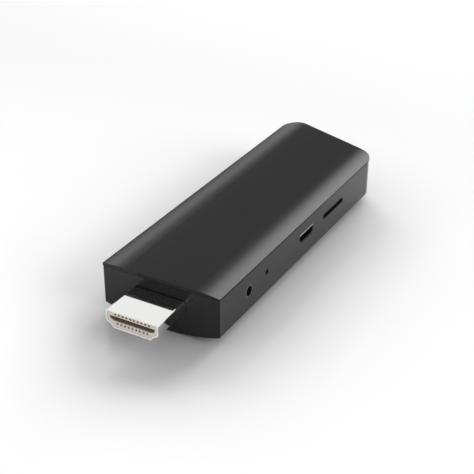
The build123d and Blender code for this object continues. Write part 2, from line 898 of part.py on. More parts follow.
def groove_cutter(points, z0, z1):
    """Round-ended groove along straight runs through (x, y) points."""
    cutter = post(*points[0], z0, z1, groove_width)
    for (ax, ay), (bx, by) in zip(points, points[1:]):
        length = math.hypot(bx - ax, by - ay)
        angle = math.degrees(math.atan2(by - ay, bx - ax))
        middle = Pos((ax + bx) / 2, (ay + by) / 2, (z0 + z1) / 2)
        cutter += middle * Rot(0, 0, angle) * Box(length, groove_width, z1 - z0)
        cutter += post(bx, by, z0, z1, groove_width)
    return cutter


def make_card_socket():
    front = wall_in - socket_front_gap
    rear = front - socket_depth
    floor_top = board_top + socket_floor
    near_side = card_y - card_width / 2
    far_side = card_far_side
    outer_near = near_side - socket_wall
    slider_far = far_side + slider_width
    channel_far = slider_far + spring_channel
    outer_far = card_far_y
    stop_x = front - slider_stop
    slider_x1 = stop_x - slider_play
    slider_x0 = slider_x1 - slider_length
    slider_z0 = floor_top + slider_play
    slider_z1 = slider_z0 + slider_height
    pivot_x = front - pin_setback
    pin_y = far_side + slider_width / 2
    pin_z = slider_z1 + pin_lift + pin_diameter / 2

    base = block(rear, front, outer_near, outer_far, board_top, floor_top)
    base += block(rear, front, outer_near, near_side, board_top, socket_top)
    base += block(rear, front, channel_far, outer_far, board_top, socket_top)
    base += block(rear, rear + socket_back_wall, outer_near, outer_far, board_top, socket_top)
    base += block(stop_x, front, far_side, outer_far, board_top, slider_z1)
    base -= post(pivot_x, pin_y, floor_top, socket_top, pin_diameter + pin_hole_play)

    # Card contacts lie in slots in the floor and rise into the card's path
    flat_z = board_top + card_contact_gap
    crest = board_top + card_contact_lift
    line = [
        (rear - card_contact_tail, flat_z),
        (rear + card_contact_bend, flat_z),
        (rear + card_contact_crest - card_contact_nose, crest - card_contact_rise),
        (rear + card_contact_crest, crest),
        (rear + card_contact_crest + card_contact_nose, crest - card_contact_dip),
    ]
    contacts = []
    half = card_contact_width / 2
    slot_half = half + card_contact_gap
    slot_end = rear + card_contact_crest + card_contact_slot_end
    for index in range(card_contact_count):
        y = near_side + card_contact_start + index * card_contact_pitch
        contacts.append(along_y(strip(line, card_contact_metal), y - half, y + half))
        base -= block(rear - beyond, slot_end, y - slot_half, y + slot_half, board_top - beyond, crest)

    # Slider: heart-shaped cam track on top, spring channel beside it, arm behind the card's corner
    near = far_side + slider_play
    flange_x = slider_x1 - slider_flange
    slider = block(slider_x0, slider_x1, near, slider_far - slider_play, slider_z0, slider_z1)
    slider += block(flange_x, slider_x1, near, channel_far - slider_play, slider_z0, slider_z1)
    arm_far = far_side + slider_arm_root
    slider += block(
        slider_x0, slider_x0 + slider_arm_depth, arm_far - slider_arm, arm_far, slider_z0, slider_z1
    )
    start = pivot_x - pin_reach
    deepest = start + slider_travel
    locked = start + lock_travel
    track = [
        (start, pin_y),
        (deepest + track_margin, pin_y - pin_swing),
        (locked, pin_y),
        (deepest + track_margin, pin_y + pin_swing),
        (start, pin_y),
    ]
    slider -= groove_cutter(track, slider_z1 - groove_depth, slider_z1 + beyond)

    radius = pin_diameter / 2
    pin = rod_x(start - radius, pivot_x + radius, pin_y, pin_z, pin_diameter)
    pin += post(start, pin_y, slider_z1 - groove_depth + pin_foot_gap, pin_z, pin_diameter)
    pin += post(pivot_x, pin_y, floor_top + pin_foot_gap, pin_z, pin_diameter)

    spring_x0 = rear + socket_back_wall
    spring_x1 = flange_x
    coil_radius = (spring_diameter - spring_wire) / 2
    coil_length = spring_x1 - spring_x0 - 2 * spring_wire
    steps = spring_turns * spring_sides
    path = Polyline(
        *(
            (
                coil_radius * math.cos(2 * math.pi * index / spring_sides),
                coil_radius * math.sin(2 * math.pi * index / spring_sides),
                coil_length * index / steps,
            )
            for index in range(steps + 1)
        )
    )
    section = Plane(origin=path @ 0, z_dir=path % 0) * Rectangle(spring_wire, spring_wire)
    coil = sweep(section, path=path, transition=Transition.RIGHT)
    spring_y = (slider_far + channel_far) / 2
    spring_z = (floor_top + socket_top) / 2
    spring = Pos(spring_x0 + spring_wire, spring_y, spring_z) * Rot(0, 90, 0) * coil

    cover = block(rear, front, outer_near, outer_far, socket_top, socket_top + socket_metal)
    for y0, y1 in ((outer_near - socket_metal, outer_near), (outer_far, outer_far + socket_metal)):
        cover += block(rear, front, y0, y1, board_top, socket_top + socket_metal)
    low = socket_top - beyond
    high = socket_top + beyond
    for side in (-1, 1):
        y0, y1 = sorted(card_y + side * y for y in cover_window_side)
        cover -= block(front - cover_window[1], front - cover_window[0], y0, y1, low, high)
    y0, y1 = (near_side + y for y in cover_rear_sides)
    cover -= block(rear + cover_rear_window[0], rear + cover_rear_window[1], y0, y1, low, high)

    # Leaf that presses the cam pin into its track
    leaf_x = (start + pivot_x) / 2
    leaf_end = leaf_x - leaf_half
    for y in leaf_sides:
        cover -= block(leaf_end, leaf_x + leaf_half, pin_y + y, pin_y + y + leaf_slit, low, high)
    y0, y1 = pin_y + leaf_sides[0], pin_y + leaf_sides[1] + leaf_slit
    cover -= block(leaf_end - leaf_slit, leaf_end, y0, y1, low, high)
    coupling = pin_swing / pin_reach / slider_travel * 1000
    print("cam pin coupling, radians per metre of slide", round(coupling, 4))
    print("cam pin pivot", place_text(pivot_x, pin_y, pin_z))
    print("spring fixed end x", round(spring_x0, 3))
    return {
        "card_socket_base": base,
        "card_socket_cover": cover,
        "card_contacts": contacts,
        "card_slider": slider,
        "card_cam_pin": pin,
        "card_eject_spring": spring,
    }


def chip(x0, y0, width, length, height):
    """Moulded package on the board, with broken top edges."""
    body = block(x0, x0 + width, y0, y0 + length, board_top, board_top + height)
    return chamfer(body.faces().sort_by(Axis.Z)[-1].edges(), chip_chamfer)


def make_shielded_chips():
    x0 = -board_half + shield_inset
    x1 = x0 + shield_width
    y0 = shield_start
    y1 = y0 + shield_length
    mid_x = (x0 + x1) / 2
    chip_x = mid_x - system_chip_size / 2
    chip_y = y0 + system_chip_back
    chip_top = board_top + chip_height
    shield_top = board_top + shield_height
    memory_y = y1 - memory_length - part_gap
    memory_xs = (x0 + memory_margin, x1 - memory_margin - memory_width)

    frame = block(x0, x1, y0, y1, board_top, shield_top)
    metal = can_metal
    frame -= block(x0 + metal, x1 - metal, y0 + metal, y1 - metal, board_top - beyond, shield_top + beyond)
    bridge_y = chip_y + system_chip_size + bridge_gap
    frame += block(x0, x1, bridge_y, bridge_y + metal, chip_top + bridge_clearance, shield_top)

    inner = shield_play
    outer = shield_play + metal
    lid = block(x0 - outer, x1 + outer, y0 - outer, y1 + outer, shield_top - shield_skirt, shield_top + metal)
    lid -= block(x0 - inner, x1 + inner, y0 - inner, y1 + inner, board_top, shield_top)

    pad_x = chip_x + pad_margin
    pad_y = chip_y + pad_margin
    pad_size = system_chip_size - 2 * pad_margin
    gap_x = mid_x - gap_pad_width / 2
    gap_y = y0 + gap_pad_back
    gap_top = lid_under_z - spreader_thickness
    return {
        "system_chip": chip(chip_x, chip_y, system_chip_size, system_chip_size, chip_height),
        "memory_chips": [chip(x, memory_y, memory_width, memory_length, memory_height) for x in memory_xs],
        "shield_frame": frame,
        "shield_lid": lid,
        "thermal_pad": block(pad_x, pad_x + pad_size, pad_y, pad_y + pad_size, chip_top, shield_top),
        "gap_pad": block(
            gap_x, gap_x + gap_pad_width, gap_y, gap_y + gap_pad_length, shield_top + metal, gap_top
        ),
        "heat_spreader": make_heat_spreader(),
    }


def make_wifi_module(x0, y0):
    """Wireless module: its own small board with a hollow shield can."""
    board_high = board_top + wifi_board_height
    can_top = board_high + wifi_can_height
    outer = wifi_can_margin
    inner = wifi_can_margin + can_metal
    can = block(x0 + outer, x0 + wifi_size - outer, y0 + outer, y0 + wifi_size - outer, board_high, can_top)
    can = chamfer(can.edges().filter_by(Axis.Z), wifi_can_corner)
    can -= block(
        x0 + inner, x0 + wifi_size - inner, y0 + inner, y0 + wifi_size - inner, board_top, can_top - can_metal
    )
    return {
        "wifi_board": block(x0, x0 + wifi_size, y0, y0 + wifi_size, board_top, board_high),
        "wifi_shield": can,
    }


def make_electronics():
    pieces = make_shielded_chips()

    power_x = -board_half + power_edge
    power_y = post_left[-1] + post_width / 2 + part_gap
    pieces["power_chip"] = chip(power_x, power_y, power_chip_size, power_chip_size, power_chip_height)
    coil_y = power_y + power_chip_size + part_gap
    coils = []
    for x in (power_x, power_x + coil_size + part_gap):
        coil = block(x, x + coil_size, coil_y, coil_y + coil_size, board_top, board_top + coil_height)
        coils.append(chamfer(coil.edges().filter_by(Axis.Z), coil_corner))
    pieces["power_inductors"] = coils

    wifi_x = -board_half + wifi_edge
    wifi_y = card_far_y + socket_metal + wifi_gap
    pieces.update(make_wifi_module(wifi_x, wifi_y))
    x0 = -board_half + antenna_edge
    x1 = x0 + antenna_length
    y1 = end_y(x1, wall + antenna_back)
    pieces["chip_antenna"] = block(x0, x1, y1 - antenna_width, y1, board_top, board_top + antenna_height)

    # The flash chip hangs under the board, below the card socket
    x1 = flash_width / 2
    y0 = card_y - flash_length / 2
    flash = block(-x1, x1, y0, y0 + flash_length, board_bottom - memory_height, board_bottom)
    pieces["flash_chip"] = chamfer(flash.faces().sort_by(Axis.Z)[0].edges(), chip_chamfer)

    crystal_x = -board_half + system_crystal_place[0]
    pieces["crystals"] = [
        chip(crystal_x, system_crystal_place[1], *system_crystal, crystal_height),
        chip(wifi_x + wifi_size + part_gap, wifi_y + part_gap, *wifi_crystal, crystal_height),
    ]
    capacitors = []
    x = -board_half + shield_inset + shield_width + shield_play + can_metal + bulk_capacitor_gap
    width, length, height = bulk_capacitor
    for index in range(bulk_capacitor_count):
        y = bulk_capacitor_start + index * bulk_capacitor_pitch
        capacitors.append(block(x, x + width, y, y + length, board_top, board_top + height))
    width, length, height = line_capacitor
    y = line_capacitor_place[1]
    for index in range(line_capacitor_count):
        x = -board_half + line_capacitor_place[0] + index * line_capacitor_pitch
        capacitors.append(block(x, x + width, y, y + length, board_top, board_top + height))
    pieces["capacitors"] = capacitors
    return pieces


# The finished part's origin is midway along the whole stick, in the middle of its width, on the ground
end_arc_y = end_y(-side_x, 0) - left_corner * math.tan((math.pi / 2 + slant) / 2) + left_corner
origin_shift = -(end_arc_y + lid_overhang - plug_reach) / 2


def place_text(x, y, z):
    return tuple(round(value, 3) for value in (x, y + origin_shift, z))


def main():
    os.makedirs("parts", exist_ok=True)
    pieces = {
        "bottom_case": make_bottom_case(),
        "top_cover": make_top_cover(),
        "main_board": make_board(),
        "board_screws": make_screws(),
        "hdmi_shell": make_plug_shell(),
        **make_plug_inside(),
        **make_jack(),
        **make_reset_switch(),
        **make_usb(),
        **make_card_socket(),
        **make_electronics(),
    }
    for name, shape in pieces.items():
        solids = shape if isinstance(shape, list) else [shape]
        moved = [Pos(0, origin_shift, 0) * solid for solid in solids]
        joined = moved[0] if len(moved) == 1 else Compound(children=moved)
        export_step(joined, f"parts/{name}.step")
    whole_length = end_arc_y + lid_overhang + plug_reach
    print("front face at y", round(origin_shift, 4), "whole length", round(whole_length, 3))
    print("jack mouth", place_text(side_x - jack_recess, jack_y, jack_z))
    print("pinhole", place_text(side_x, reset_y, reset_z))
    print("plug mouth", place_text(0, -plug_reach, plug_centre_z))
    print("usb mouth", place_text(side_x - usb_recess, usb_y, usb_z))
    print("card slot", place_text(side_x, card_y, card_slot_z))


main()
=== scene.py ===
import json
import math

import bpy
from mathutils import Euler, Matrix, Vector


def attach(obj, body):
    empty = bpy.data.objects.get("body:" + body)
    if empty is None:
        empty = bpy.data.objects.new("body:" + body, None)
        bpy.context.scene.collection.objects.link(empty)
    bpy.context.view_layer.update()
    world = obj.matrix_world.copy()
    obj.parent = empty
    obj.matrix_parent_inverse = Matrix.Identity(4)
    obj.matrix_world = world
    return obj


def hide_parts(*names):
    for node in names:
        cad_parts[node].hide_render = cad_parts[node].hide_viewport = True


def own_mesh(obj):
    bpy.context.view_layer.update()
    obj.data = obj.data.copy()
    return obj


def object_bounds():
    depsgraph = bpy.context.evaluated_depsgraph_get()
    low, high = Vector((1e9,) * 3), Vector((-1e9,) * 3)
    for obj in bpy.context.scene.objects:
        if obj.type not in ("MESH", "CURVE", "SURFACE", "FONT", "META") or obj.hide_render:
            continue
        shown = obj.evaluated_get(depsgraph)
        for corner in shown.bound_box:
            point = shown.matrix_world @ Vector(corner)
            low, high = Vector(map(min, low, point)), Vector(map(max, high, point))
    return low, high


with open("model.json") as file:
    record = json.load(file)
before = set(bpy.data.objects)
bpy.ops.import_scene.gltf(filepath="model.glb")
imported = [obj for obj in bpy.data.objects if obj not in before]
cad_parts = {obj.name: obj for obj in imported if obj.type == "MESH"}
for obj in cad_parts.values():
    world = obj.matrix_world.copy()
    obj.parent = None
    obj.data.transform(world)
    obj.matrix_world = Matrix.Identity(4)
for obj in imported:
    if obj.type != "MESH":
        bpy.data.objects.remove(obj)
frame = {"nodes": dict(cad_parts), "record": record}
cad_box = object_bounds()
nodes = frame["nodes"]
record = frame["record"]
scene = bpy.context.scene
MM = 0.001

# Springs and the joint that works each one
SPRINGS = {"card_eject_spring": "card_push", "reset_dome": "reset_press"}

# Camera: sensor and lens in millimetres, clip distances in metres, place in millimetres, and turn
# in degrees about x, y and z
SENSOR = 36.0
LENS = 81.22
CLIP = (0.01, 50.0)
CAMERA_PLACE = (116.8, -213.3, 142.05)
CAMERA_TURN = (60.341, -0.2121, 29.5554)

# Painted shade and painted highlights: places of another tone that stand in for light, each as a
# box in millimetres and a colour
# Painted shade: the case's port openings painted almost black inside
PORT_PAINTED_SHADE = ({"X": (14.35, 15.7), "Y": (-37.0, 30.0), "Z": (4.5, 11.5)}, (0.0005, 0.0005, 0.0005))
# Painted shade: the jack socket painted almost black inside its hole
JACK_PAINTED_SHADE = ({"X": (11.0, 15.7), "Y": (-29.7, -26.9), "Z": (6.1, 8.95)}, (0.0005, 0.0005, 0.0005))
# Painted shade: the cream insulator painted darker behind the plug's mouth, inside the slot
SLOT_PAINTED_SHADE = ({"Y": (-53.3, 0.0)}, (0.16, 0.13, 0.10))
# Painted shade: the micro-USB shell's outer rim painted dark below its top edge, which keeps the
# bright line
INLET_RIM_PAINTED_SHADE = ({"X": (15.65, 16.5), "Z": (0.0, 9.1)}, (0.10, 0.10, 0.10))
# Painted shade: the inside of the micro-USB inlet painted dark
INLET_PAINTED_SHADE = ({"X": (13.0, 15.65), "Y": (-3.0, 6.0), "Z": (6.9, 9.2)}, (0.01, 0.01, 0.01))
# Painted light: the lid's front end painted lighter and dull, standing in for the light the case
# front below it reflects
LID_FRONT_PAINTED_LIGHT = ({"Y": (-44.0, -42.1)}, (0.020, 0.020, 0.020))
# Painted highlight: the left part of the lid's front end painted lighter still
LID_LEFT_FRONT_PAINTED_HIGHLIGHT = ({"X": (-15.7, -6.0), "Y": (-44.0, -42.1)}, (0.032, 0.032, 0.032))
# Painted shade: the lid's left and rear edges painted darker and dull, which takes their
# reflections away
LID_LEFT_EDGE_PAINTED_SHADE = ({"X": (-16.5, -15.7)}, (0.004, 0.004, 0.004))
LID_REAR_EDGE_PAINTED_SHADE = ({"Y": (53.25, 54.0)}, (0.004, 0.004, 0.004))
# Painted shadow: the case's front right corner edge painted darker and dull
CASE_CORNER_PAINTED_SHADOW = ({"X": (15.6, 16.5), "Y": (-42.5, -41.95)}, (0.004, 0.004, 0.004))
# Painted shadow: a dark line along the plug's top where it meets the case's front face
PLUG_ROOT_PAINTED_SHADOW = ({"X": (-6.8, 6.8), "Y": (-42.5, -20.0), "Z": (9.4, 10.0)}, (0.02, 0.02, 0.02))
# Painted highlight: the plug shell's front rim painted near white and dull, a light line round the
# mouth
PLUG_EDGE_PAINTED_HIGHLIGHT = ({"Y": (-54.0, -53.6)}, (0.98, 0.975, 0.96))
# Roughness inside those places
DULL = 0.9

# Moulded pieces. The grain is a strength and a size in millimetres, and the variation is how far
# the tone strays from the colour.
MOULDED = {
    "case_plastic": {
        "colour": (0.0095, 0.0095, 0.0096),
        "roughness": 0.26,
        "specular": 0.355,
        "painted_light_patches": [PORT_PAINTED_SHADE, CASE_CORNER_PAINTED_SHADOW],
    },
    "lid_plastic": {
        "colour": (0.005, 0.005, 0.0052),
        "roughness": 0.12,
        "specular": 0.10,
        "painted_light_patches": [LID_FRONT_PAINTED_LIGHT, LID_LEFT_FRONT_PAINTED_HIGHLIGHT, LID_LEFT_EDGE_PAINTED_SHADE, LID_REAR_EDGE_PAINTED_SHADE],
    },
    "cream_plastic": {
        "colour": (0.52, 0.475, 0.425),
        "roughness": 0.42,
        "specular": 0.4,
        "grain": 0.05,
        "grain_size": 0.3,
        "variation": 0.04,
        "painted_light_patches": [SLOT_PAINTED_SHADE],
    },
    "socket_plastic": {
        "colour": (0.055, 0.055, 0.055),
        "roughness": 0.3,
        "specular": 0.36,
        "painted_light_patches": [JACK_PAINTED_SHADE, INLET_PAINTED_SHADE],
    },
    "button_plastic": {"colour": (0.06, 0.06, 0.06), "roughness": 0.35, "specular": 0.45},
    "chip_epoxy": {
        "colour": (0.022, 0.022, 0.024),
        "roughness": 0.48,
        "specular": 0.35,
        "grain": 0.25,
        "grain_size": 0.1,
    },
    "ferrite": {
        "colour": (0.09, 0.09, 0.095),
        "roughness": 0.55,
        "specular": 0.4,
        "grain": 0.4,
        "grain_size": 0.12,
        "variation": 0.25,
    },
    "capacitor_ceramic": {
        "colour": (0.40, 0.29, 0.19),
        "roughness": 0.35,
        "specular": 0.5,
        "grain": 0.1,
        "grain_size": 0.2,
    },
    "antenna_ceramic": {
        "colour": (0.78, 0.77, 0.72),
        "roughness": 0.30,
        "specular": 0.5,
        "grain": 0.05,
        "grain_size": 0.3,
        "variation": 0.03,
    },
    "pad_silicone": {
        "colour": (0.42, 0.50, 0.62),
        "roughness": 0.65,
        "specular": 0.3,
        "grain": 0.3,
        "grain_size": 0.3,
        "variation": 0.08,
    },
}
# Metal pieces. The streak is how fast the streaks change along each axis, and the scratch is their
# strength.
TIN = (0.72, 0.72, 0.71)
ALONG_X = (0.1, 1.0, 1.0)
ALONG_Y = (1.0, 0.1, 1.0)
PLATED = {
    "screw_steel": {"colour": (0.42, 0.42, 0.43), "roughness": 0.30},
    "plug_metal": {
        "colour": (0.83, 0.825, 0.805),
        "roughness": 0.04,
        "streak": (1.0, 0.06, 1.0),
        "variation": 0.01,
        "scratch": 0.0,
        "painted_light_patches": [PLUG_ROOT_PAINTED_SHADOW, PLUG_EDGE_PAINTED_HIGHLIGHT],
    },
    "contact_gold": {
        "colour": (0.93, 0.82, 0.55),
        "roughness": 0.18,
        "streak": ALONG_Y,
        "painted_light_patches": [INLET_PAINTED_SHADE],
    },
    "spring_metal": {"colour": (0.66, 0.63, 0.56), "roughness": 0.22, "streak": ALONG_X},
    "inlet_metal": {
        "colour": TIN,
        "roughness": 0.20,
        "streak": ALONG_X,
        "painted_light_patches": [INLET_RIM_PAINTED_SHADE, INLET_PAINTED_SHADE],
    },
    "can_metal": {"colour": TIN, "roughness": 0.20, "streak": ALONG_X},
    "spreader_aluminium": {
        "colour": (0.78, 0.78, 0.79),
        "roughness": 0.30,
        "streak": (1.0, 0.04, 1.0),
    },
}
# Nodes that look different from the rest of their slot
OWN_LOOKS = {"usb_shell": "inlet_metal"}

# Circuit board: darkest and lightest mask over bare laminate, mask over copper, the patterns of
# tracks and vias, and how far a via reaches in its cell
BOARD_ROUGHNESS = 0.28
BOARD_MASK = ((0.008, 0.075, 0.035), (0.012, 0.095, 0.045))
BOARD_COPPER = (0.03, 0.20, 0.09)
TRACKS = {"Scale": 900.0, "Mortar Size": 0.035, "Brick Width": 1.7, "Row Height": 0.5}
VIAS = {"Scale": 700.0, "Randomness": 0.35}
VIA_REACH = 0.12

# Most of a noise lies between these values, so its tones and gloss are spread over them
NOISE_RANGE = (0.3, 0.7)
# Scales of the noises, for each metre
MOTTLING = 90.0
STREAKS = 2500.0
METAL_CLOUDS = 260.0
BOARD_CLOUDS = 300.0
FLOOR_CLOUDS = 6.0
# Pores in a moulded surface, for each grain
PORES = 0.7
# Depths of the moulded grain, the metals' streaks and the board's tracks, in millimetres, and how
# strongly the tracks show
GRAIN_DEPTH = 0.03
STREAK_DEPTH = 0.01
TRACK_DEPTH = 0.03
TRACK_STRENGTH = 0.4
# How far wear takes the roughness below and above its value, and the least that it leaves a metal
PLASTIC_WEAR = (0.03, 0.03)
METAL_WEAR = (0.02, 0.04)
LEAST_ROUGHNESS = 0.02

# Surround: white to the camera and in reflections, and a low even fill otherwise
SURROUND = 0.1
# Lamps for the floor alone, which give it the long soft shadow: each comes from this many degrees
# round from +X, with this share of the floor's light. They stand this many degrees up and look this
# many degrees wide.
FLOOR_LAMPS = ((0, 0.24), (45, 0.06), (90, 0.38), (135, 0.26), (180, 0.07), (225, 0.03))
FLOOR_LAMP_HEIGHT = 21.0
FLOOR_LAMP_WIDTH = 40.0
# Lamps for the object alone: degrees round from +X, degrees up, and level
OBJECT_LAMPS = ((300, 35, 0.7), (200, 35, 0.5), (60, 35, 0.5))
OBJECT_LAMP_WIDTH = 80.0
# Floor: side and gap under the part in millimetres, darkest and lightest tone, and finish
FLOOR_SIDE = 6000.0
FLOOR_GAP = 0.02
FLOOR_TONES = ((0.90, 0.90, 0.90), (0.91, 0.91, 0.91))
FLOOR_ROUGHNESS = 0.06
FLOOR_SPECULAR = 0.25
# Painted contact shade: an ambient occlusion node darkens the floor's colour within this many
# millimetres of the part, by this share
CONTACT_REACH = 28.0
CONTACT_SHADE = 0.45

# Upright panels that show only in reflections: y of the plane, then x and z of the lower left
# corner and of the upper right one, in millimetres. The screen behind the part dims what the lid
# mirrors and adds two beams, which fan out from the part and draw the long highlights on the lid's
# shoulders. The flag in front darkens the front face where the plug's top mirrors it.
SCREEN = (1500.0, (-2700, 300), (-100, 1800))
FLAG = (-1200.0, (-1720, 450), (-200, 1750))
FLAG_GLOW = 0.15
# The screen's veil clears from the first height to the second, in metres: upwards, then downwards
SCREEN_VEIL = ((0.4, 1.15), (0.75, 0.45))
# Each beam grows from its first lean (x over z) to its second, up to this glow for each metre of
# height. The last takes the left beam away again towards the lid's left edge.
SCREEN_BEAMS = ((-0.76, -0.42, 6.9), (-0.98, -1.38, 2.8), (-1.5, -1.9, -2.8))
WHITE = (1, 1, 1, 1)


def make_camera():
    data = bpy.data.cameras.new("camera")
    data.sensor_width = SENSOR
    data.lens = LENS
    data.clip_start, data.clip_end = CLIP
    camera = bpy.data.objects.new("camera", data)
    turn = Euler([math.radians(angle) for angle in CAMERA_TURN])
    camera.matrix_world = Matrix.LocRotScale(Vector(CAMERA_PLACE) * MM, turn, None)
    scene.collection.objects.link(camera)
    scene.camera = camera


class ShaderTree:
    """The shader nodes of a material or a world, with short calls for adding and joining them."""

    def __init__(self, owner):
        owner.use_nodes = True
        self.nodes = owner.node_tree.nodes
        self.links = owner.node_tree.links
        self.nodes.clear()

    def add(self, kind, inputs=None, **settings):
        """New shader node. An input is given another node's output or a plain value."""
        node = self.nodes.new(kind)
        for name, value in settings.items():
            setattr(node, name, value)
        for name, value in (inputs or {}).items():
            if isinstance(value, bpy.types.NodeSocket):
                self.links.new(value, node.inputs[name])
            else:
                node.inputs[name].default_value = value
        return node

    def out(self, kind, inputs=None, output=0, **settings):
        """An output of a new shader node."""
        return self.add(kind, inputs, **settings).outputs[output]

    def principled(self, inputs):
        """Ends the tree of a material in a surface with these inputs."""
        surface = self.out("ShaderNodeBsdfPrincipled", inputs)
        self.add("ShaderNodeOutputMaterial", {"Surface": surface})


def new_material(name):
    material = bpy.data.materials.new(name)
    return material, ShaderTree(material)


def coordinates(tree):
    return tree.out("ShaderNodeTexCoord", output="Object")


def noise(tree, place, scale, detail=3.0, roughness=0.6):
    inputs = {"Vector": place, "Scale": scale, "Detail": detail, "Roughness": roughness}
    return tree.out("ShaderNodeTexNoise", inputs)


def between(tree, value, start, end, low=0.0, high=1.0, **settings):
    """Runs from low to high as the value runs from start to end."""
    inputs = {"Value": value, "From Min": start, "From Max": end, "To Min": low, "To Max": high}
    return tree.out("ShaderNodeMapRange", inputs, **settings)


def tint(tree, factor, tones):
    """Colour that runs from the first tone to the second with a noise."""
    ramp = tree.add("ShaderNodeValToRGB", {"Fac": factor})
    for element, position, tone in zip(ramp.color_ramp.elements, NOISE_RANGE, tones):
        element.position = position
        element.color = (*tone, 1)
    return ramp.outputs["Color"]


def tone_range(colour, variation):
    """Darkest and lightest tone of a colour that varies."""
    return [
        tuple(min(1.0, channel * share) for channel in colour)
        for share in (1 - variation, 1 + variation)
    ]


def blend(tree, factor, first, second):
    """Colour that goes from the first to the second with a factor."""
    # A colour mix has its factor, A and B at inputs 0, 6 and 7, and its result at output 2
    inputs = {0: factor, 6: first, 7: second}
    return tree.out("ShaderNodeMix", inputs, output=2, data_type="RGBA")


def inside(tree, place, box):
    """1 inside the box, which gives from and to in millimetres along some axes, and 0 outside."""
    axes = tree.add("ShaderNodeSeparateXYZ", {"Vector": place})
    mask = None
    for axis, (low, high) in box.items():
        half = (high - low) / 2
        inputs = {0: axes.outputs[axis], 1: (low + half) * MM, 2: half * MM}
        near = tree.out("ShaderNodeMath", inputs, operation="COMPARE")
        if mask:
            near = tree.out("ShaderNodeMath", {0: mask, 1: near}, operation="MULTIPLY")
        mask = near
    return mask


def paint_shade_and_highlights(tree, place, base, gloss, painted_light_patches):
    """Base colour and roughness, with painted shade or painted highlights: each patch's own colour
    and a dull finish inside its box.
    """
    for box, colour in painted_light_patches:
        mask = inside(tree, place, box)
        base = blend(tree, mask, base, (*colour, 1))
        gloss = between(tree, mask, 0.0, 1.0, gloss, DULL)
    return base, gloss


def moulded_plastic(
    name, colour, roughness, specular, grain=0.12, grain_size=0.22, variation=0.12, painted_light_patches=()
):
    """Moulded plastic with fine spark-eroded grain, soft mottling and slight wear in its gloss."""
    material, tree = new_material(name)
    place = coordinates(tree)
    broad = noise(tree, place, MOTTLING, detail=4.0)
    grains = 1.0 / (grain_size * MM)
    fine = noise(tree, place, grains, detail=2.0, roughness=0.5)
    pores = tree.out("ShaderNodeTexVoronoi", {"Vector": place, "Scale": PORES * grains})
    height = tree.out("ShaderNodeMath", {0: fine, 1: pores}, operation="ADD")
    inputs = {"Height": height, "Strength": grain, "Distance": GRAIN_DEPTH * MM}
    bump = tree.out("ShaderNodeBump", inputs)
    base = tint(tree, broad, tone_range(colour, variation))
    below, above = PLASTIC_WEAR
    gloss = between(tree, fine, *NOISE_RANGE, roughness - below, roughness + above)
    # Painted shade and painted highlights inside the listed boxes
    base, gloss = paint_shade_and_highlights(tree, place, base, gloss, painted_light_patches)
    tree.principled(
        {"Base Color": base, "Roughness": gloss, "Normal": bump, "Specular IOR Level": specular}
    )
    return material


def plated_metal(
    name, colour, roughness, streak=(1.0, 1.0, 1.0), variation=0.04, scratch=0.04, painted_light_patches=()
):
    """Plated or rolled metal, with faint streaks, clouds and a drawn direction."""
    material, tree = new_material(name)
    place = coordinates(tree)
    drawn = tree.out("ShaderNodeMapping", {"Vector": place, "Scale": streak})
    streaks = noise(tree, drawn, STREAKS)
    clouds = noise(tree, place, METAL_CLOUDS, detail=4.0)
    inputs = {"Height": streaks, "Strength": scratch, "Distance": STREAK_DEPTH * MM}
    bump = tree.out("ShaderNodeBump", inputs)
    base = tint(tree, clouds, tone_range(colour, variation))
    below, above = METAL_WEAR
    least = max(LEAST_ROUGHNESS, roughness - below)
    gloss = between(tree, streaks, *NOISE_RANGE, least, roughness + above)
    # Painted shade and painted highlights inside the listed boxes
    base, gloss = paint_shade_and_highlights(tree, place, base, gloss, painted_light_patches)
    tree.principled({"Base Color": base, "Roughness": gloss, "Normal": bump, "Metallic": 1.0})
    return material


def circuit_board(name):
    """Green solder mask over copper tracks and vias, which stand out as paler, raised shapes."""
    material, tree = new_material(name)
    place = coordinates(tree)
    tracks = tree.out("ShaderNodeTexBrick", {"Vector": place, **TRACKS}, output="Fac")
    dots = tree.out("ShaderNodeTexVoronoi", {"Vector": place, **VIAS})
    vias = tree.out("ShaderNodeMath", {0: dots, 1: VIA_REACH}, operation="LESS_THAN")
    raised = tree.out("ShaderNodeMath", {0: tracks, 1: vias}, operation="MAXIMUM")
    mask = tint(tree, noise(tree, place, BOARD_CLOUDS), BOARD_MASK)
    base = blend(tree, raised, mask, (*BOARD_COPPER, 1))
    inputs = {"Height": raised, "Strength": TRACK_STRENGTH, "Distance": TRACK_DEPTH * MM}
    bump = tree.out("ShaderNodeBump", inputs)
    tree.principled({"Base Color": base, "Roughness": BOARD_ROUGHNESS, "Normal": bump})
    return material


def floor_material():
    """White sweep: keeps the object's shadow, and mirrors it faintly. Its colour also carries a
    painted contact shade near the part.
    """
    material, tree = new_material("floor_white")
    place = coordinates(tree)
    soft = tint(tree, noise(tree, place, FLOOR_CLOUDS), FLOOR_TONES)
    # Painted contact shade: the ambient occlusion node darkens the floor's colour near the part
    inputs = {"Color": soft, "Distance": CONTACT_REACH * MM}
    contact = tree.out("ShaderNodeAmbientOcclusion", inputs)
    base = blend(tree, CONTACT_SHADE, soft, contact)
    tree.principled(
        {"Base Color": base, "Roughness": FLOOR_ROUGHNESS, "Specular IOR Level": FLOOR_SPECULAR}
    )
    return material


def add_quad(name, corners, material):
    """Flat piece of scenery, from its corners in metres."""
    mesh = bpy.data.meshes.new(name)
    mesh.from_pydata(corners, [], [(0, 1, 2, 3)])
    mesh.materials.append(material)
    quad = bpy.data.objects.new(name, mesh)
    scene.collection.objects.link(quad)
    return quad


def make_floor():
    half = FLOOR_SIDE / 2 * MM
    corners = [(-half, -half, 0), (half, -half, 0), (half, half, 0), (-half, half, 0)]
    floor = add_quad("floor", corners, floor_material())
    floor.location.z = min(0.0, cad_box[0].z) - FLOOR_GAP * MM
    return floor


